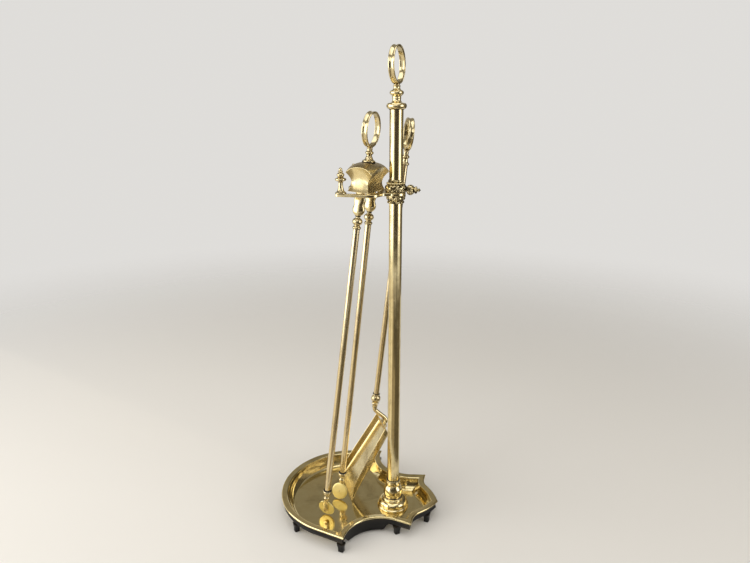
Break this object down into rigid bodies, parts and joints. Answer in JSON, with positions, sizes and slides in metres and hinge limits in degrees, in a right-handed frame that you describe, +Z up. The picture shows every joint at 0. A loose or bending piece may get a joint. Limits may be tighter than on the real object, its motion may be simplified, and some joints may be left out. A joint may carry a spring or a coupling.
{
  "type": "fireplace tool set",
  "caption": "Brass fireside stand with a scalloped tray on an iron apron, a column with a fork and crook bracket, and lift-out hinged tongs and shovel.",
  "frame": {"origin": "middle of the set's bounding box, on the plane the feet stand on", "axes": "+Z up along the column; +X from the tray's round end towards its narrow end under the column; +Y towards the side of the bracket's open crook"},
  "size_m": [0.26, 0.2446, 0.7164],
  "materials": {
    "polished_brass": "polished, lightly tarnished",
    "rivet_brass": "dull",
    "cast_iron": "blackened",
    "steel": "plain turned"
  },
  "bodies": {
    "stand": {"tray": "polished_brass", "base_frame": "cast_iron", "foot_1": "cast_iron", "foot_2": "cast_iron", "foot_3": "cast_iron", "foot_4": "cast_iron", "foot_5": "cast_iron", "foot_6": "cast_iron", "foot_7": "cast_iron", "foot_8": "cast_iron", "base_plate": "cast_iron", "base_nut": "steel", "tie_rod": "steel", "column_foot": "polished_brass", "lower_tube": "polished_brass", "hub_seat": "polished_brass", "tool_bracket": "polished_brass", "hub_cap": "polished_brass", "upper_tube": "polished_brass", "column_cap": "polished_brass", "fork_finial_1": "polished_brass", "fork_finial_2": "polished_brass", "carry_ring": "polished_brass"},
    "clamp_screw": {"clamp_screw": "polished_brass"},
    "tongs_head": {"tongs_head": "polished_brass", "tongs_stem": "polished_brass", "tongs_ring": "polished_brass", "tongs_nut": "steel", "tongs_pin_1": "steel", "tongs_pin_2": "steel"},
    "near_leg": {"near_leg_knuckle": "polished_brass", "near_leg_collar": "polished_brass", "near_leg_shaft": "polished_brass", "near_leg_toe": "polished_brass", "near_grip_disc": "polished_brass", "near_disc_rivet": "rivet_brass"},
    "far_leg": {"far_leg_knuckle": "polished_brass", "far_leg_collar": "polished_brass", "far_leg_shaft": "polished_brass", "far_leg_toe": "polished_brass", "far_grip_disc": "polished_brass", "far_disc_rivet": "rivet_brass"},
    "shovel": {"shovel_pan": "polished_brass", "shovel_rivet_1": "rivet_brass", "shovel_rivet_2": "rivet_brass", "shovel_neck": "polished_brass", "shovel_socket": "polished_brass", "shovel_shaft": "polished_brass", "shovel_stem": "polished_brass", "shovel_ring": "polished_brass"}
  },
  "joints": [
    {"name": "clamp_screw_turn", "type": "hinge", "parent": "stand", "child": "clamp_screw", "pos_m": [0.056, 0, 0.5246], "axis": [1, 0, 0], "continuous": true},
    {"name": "tongs_lift", "type": "slide", "parent": "stand", "child": "tongs_head", "axis": [0.0879, -0.0131, 0.996], "range_m": [0, 0.028]},
    {"name": "near_leg_swing", "type": "hinge", "parent": "tongs_head", "child": "near_leg", "pos_m": [0.01064, -0.0179, 0.53119], "axis": [0.9851, -0.1472, -0.0889], "range_deg": [-0.5, 0.9]},
    {"name": "far_leg_swing", "type": "hinge", "parent": "tongs_head", "child": "far_leg", "pos_m": [0.01655, 0.02166, 0.53119], "axis": [0.9851, -0.1472, -0.0889], "range_deg": [-0.9, 0.5]},
    {"name": "shovel_lift", "type": "slide", "parent": "stand", "child": "shovel", "axis": [0.112, 0.0045, 0.9937], "range_m": [0, 0.045]}
  ],
  "couplings": [
    {"joint": "far_leg_swing", "follows": "near_leg_swing", "ratio": -1}
  ]
}
